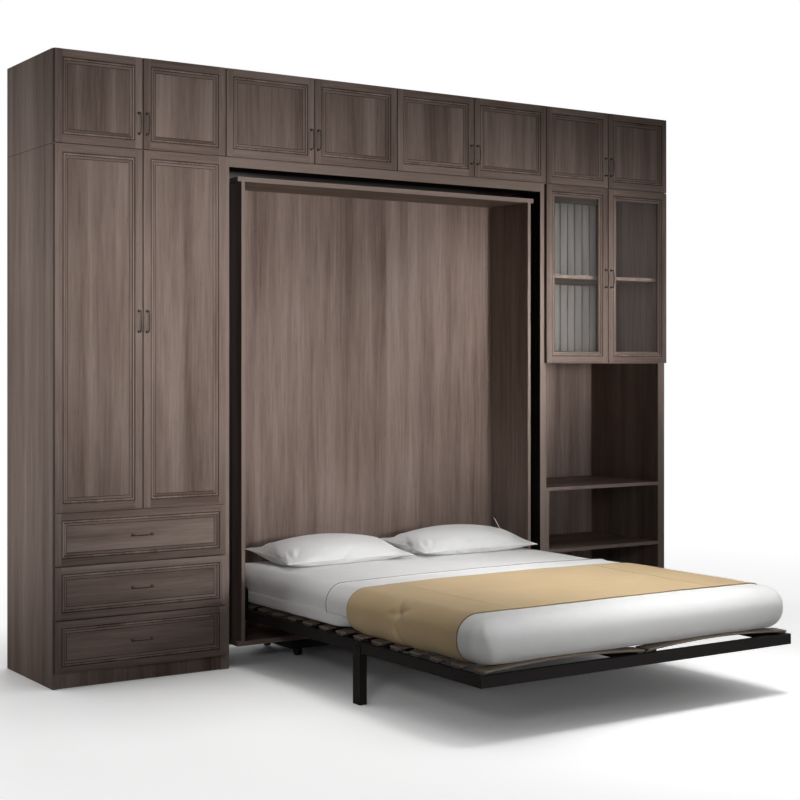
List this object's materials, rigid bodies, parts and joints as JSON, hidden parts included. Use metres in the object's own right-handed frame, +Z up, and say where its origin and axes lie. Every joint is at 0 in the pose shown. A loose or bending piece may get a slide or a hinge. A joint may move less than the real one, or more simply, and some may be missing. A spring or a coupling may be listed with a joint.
{
  "type": "rotating wall bed",
  "caption": "Cabinet wall with wardrobe, drawers, glazed display unit and upper cupboards round a box that rolls out and revolves, holding a double bed that tilts down.",
  "frame": {"origin": "on the floor, on the vertical axis about which the middle box revolves when it is home", "axes": "+X right as seen from the room, +Y into the wall, +Z up"},
  "size_m": [3.484, 2.3355, 2.7],
  "materials": {
    "walnut": "grey-brown walnut grain, satin",
    "walnut_board": "grey-brown walnut board with lighter edge band, satin",
    "walnut_front": "grey-brown walnut grain, framed and moulded, satin",
    "drawer_board": "pale matt board",
    "bronze": "dark bronze, satin",
    "clear_glass": "clear",
    "zinc_steel": "zinc plated",
    "black_steel": "black powder coat",
    "bright_rod": "polished",
    "bent_wood": "bentwood slat, matt",
    "white_cotton": "plain woven cotton",
    "tan_cloth": "soft woven cloth with stitched seams"
  },
  "bodies": {
    "cabinet": {"wardrobe_side_left": "walnut", "wardrobe_carcass": "walnut", "hanging_rail": "zinc_steel", "overhead_carcass": "walnut", "opening_jamb_left": "walnut_board", "opening_jamb_right": "walnut_board", "opening_header": "walnut_board", "display_carcass": "walnut", "display_shelf": "walnut", "floor_guide": "zinc_steel"},
    "rolling_carriage": {"carriage": "black_steel"},
    "carousel": {"turntable_plate": "zinc_steel", "carousel_bottom": "walnut_board", "carousel_top": "walnut_board", "carousel_side_left": "walnut_board", "carousel_side_right": "walnut_board", "carousel_back_panel": "walnut", "reverse_bookcase": "walnut", "bed_pivot_left": "zinc_steel", "bed_pivot_right": "zinc_steel"},
    "bed": {"bed_frame": "black_steel", "slat_deck": "bent_wood", "mattress": "white_cotton", "top_cover": "white_cotton", "runner": "tan_cloth", "pillow_left": "white_cotton", "pillow_right": "white_cotton"},
    "legs": {"leg_left": "black_steel", "leg_right": "black_steel"},
    "strut_rods": {"strut_rod_left": "bright_rod", "strut_rod_right": "bright_rod"},
    "strut_barrels": {"strut_barrel_left": "black_steel", "strut_barrel_right": "black_steel"},
    "upper_leaf_1": {"upper_door_1": "walnut_front"},
    "upper_leaf_2": {"upper_door_2": "walnut_front"},
    "upper_leaf_3": {"upper_door_3": "walnut_front"},
    "upper_leaf_4": {"upper_door_4": "walnut_front"},
    "upper_leaf_5": {"upper_door_5": "walnut_front"},
    "upper_leaf_6": {"upper_door_6": "walnut_front"},
    "upper_leaf_7": {"upper_door_7": "walnut_front"},
    "upper_leaf_8": {"upper_door_8": "walnut_front"},
    "tall_leaf_left": {"tall_door_left": "walnut_front", "tall_handle_left": "bronze"},
    "tall_leaf_right": {"tall_door_right": "walnut_front", "tall_handle_right": "bronze"},
    "glass_leaf_left": {"glass_door_left": "walnut_front", "glass_pane_left": "clear_glass", "glass_handle_left": "bronze"},
    "glass_leaf_right": {"glass_door_right": "walnut_front", "glass_pane_right": "clear_glass", "glass_handle_right": "bronze"},
    "drawer_1": {"drawer_front_1": "walnut_front", "drawer_box_1": "drawer_board", "drawer_handle_1": "bronze"},
    "drawer_2": {"drawer_front_2": "walnut_front", "drawer_box_2": "drawer_board", "drawer_handle_2": "bronze"},
    "drawer_3": {"drawer_front_3": "walnut_front", "drawer_box_3": "drawer_board", "drawer_handle_3": "bronze"}
  },
  "joints": [
    {"name": "carriage_roll", "type": "slide", "parent": "cabinet", "child": "rolling_carriage", "axis": [0, -1, 0], "range_m": [0, 0.6]},
    {"name": "carousel_turn", "type": "hinge", "parent": "rolling_carriage", "child": "carousel", "pos_m": [0, 0, 0.0757], "axis": [0, 0, 1], "range_deg": [-12, 12]},
    {"name": "bed_tilt", "type": "hinge", "parent": "carousel", "child": "bed", "pos_m": [0, -0.1485, 0.3065], "axis": [-1, 0, 0], "range_deg": [0, 90], "deforming": ["pillow_left", "pillow_right"]},
    {"name": "leg_fold", "type": "hinge", "parent": "bed", "child": "legs", "pos_m": [0, -1.19, 0.2305], "axis": [1, 0, 0], "range_deg": [0, 90]},
    {"name": "strut_swing", "type": "hinge", "parent": "carousel", "child": "strut_rods", "pos_m": [0, 0.02, 0.565], "axis": [1, 0, 0], "range_deg": [0, 8.1]},
    {"name": "strut_stroke", "type": "slide", "parent": "strut_rods", "child": "strut_barrels", "axis": [0, 0.6834, 0.73], "range_m": [0, 0.06918]},
    {"name": "upper_door_1_hinge", "type": "hinge", "parent": "cabinet", "child": "upper_leaf_1", "pos_m": [-1.722, -0.275, 2.3], "axis": [0, 0, -1], "range_deg": [0, 95]},
    {"name": "upper_door_2_hinge", "type": "hinge", "parent": "cabinet", "child": "upper_leaf_2", "pos_m": [-0.922, -0.275, 2.3], "axis": [0, 0, 1], "range_deg": [0, 80]},
    {"name": "upper_door_3_hinge", "type": "hinge", "parent": "cabinet", "child": "upper_leaf_3", "pos_m": [-0.918, -0.275, 2.3], "axis": [0, 0, -1], "range_deg": [0, 80]},
    {"name": "upper_door_4_hinge", "type": "hinge", "parent": "cabinet", "child": "upper_leaf_4", "pos_m": [-0.002, -0.275, 2.3], "axis": [0, 0, 1], "range_deg": [0, 80]},
    {"name": "upper_door_5_hinge", "type": "hinge", "parent": "cabinet", "child": "upper_leaf_5", "pos_m": [0.002, -0.275, 2.3], "axis": [0, 0, -1], "range_deg": [0, 80]},
    {"name": "upper_door_6_hinge", "type": "hinge", "parent": "cabinet", "child": "upper_leaf_6", "pos_m": [0.918, -0.275, 2.3], "axis": [0, 0, 1], "range_deg": [0, 80]},
    {"name": "upper_door_7_hinge", "type": "hinge", "parent": "cabinet", "child": "upper_leaf_7", "pos_m": [0.922, -0.275, 2.3], "axis": [0, 0, -1], "range_deg": [0, 80]},
    {"name": "upper_door_8_hinge", "type": "hinge", "parent": "cabinet", "child": "upper_leaf_8", "pos_m": [1.758, -0.275, 2.3], "axis": [0, 0, 1], "range_deg": [0, 95]},
    {"name": "tall_door_left_hinge", "type": "hinge", "parent": "cabinet", "child": "tall_leaf_left", "pos_m": [-1.722, -0.275, 0.744], "axis": [0, 0, -1], "range_deg": [0, 90]},
    {"name": "tall_door_right_hinge", "type": "hinge", "parent": "cabinet", "child": "tall_leaf_right", "pos_m": [-0.922, -0.275, 0.744], "axis": [0, 0, 1], "range_deg": [0, 90]},
    {"name": "glass_door_left_hinge", "type": "hinge", "parent": "cabinet", "child": "glass_leaf_left", "pos_m": [0.922, -0.275, 1.374], "axis": [0, 0, -1], "range_deg": [0, 90]},
    {"name": "glass_door_right_hinge", "type": "hinge", "parent": "cabinet", "child": "glass_leaf_right", "pos_m": [1.758, -0.275, 1.374], "axis": [0, 0, 1], "range_deg": [0, 90]},
    {"name": "drawer_1_slide", "type": "slide", "parent": "cabinet", "child": "drawer_1", "axis": [0, -1, 0], "range_m": [0, 0.4]},
    {"name": "drawer_2_slide", "type": "slide", "parent": "cabinet", "child": "drawer_2", "axis": [0, -1, 0], "range_m": [0, 0.4]},
    {"name": "drawer_3_slide", "type": "slide", "parent": "cabinet", "child": "drawer_3", "axis": [0, -1, 0], "range_m": [0, 0.4]}
  ],
  "couplings": [
    {"joint": "leg_fold", "follows": "bed_tilt", "ratio": 1},
    {"joint": "strut_swing", "follows": "bed_tilt", "ratio": 0.090013},
    {"joint": "strut_stroke", "follows": "bed_tilt", "m_per_rad": 0.044041}
  ]
}
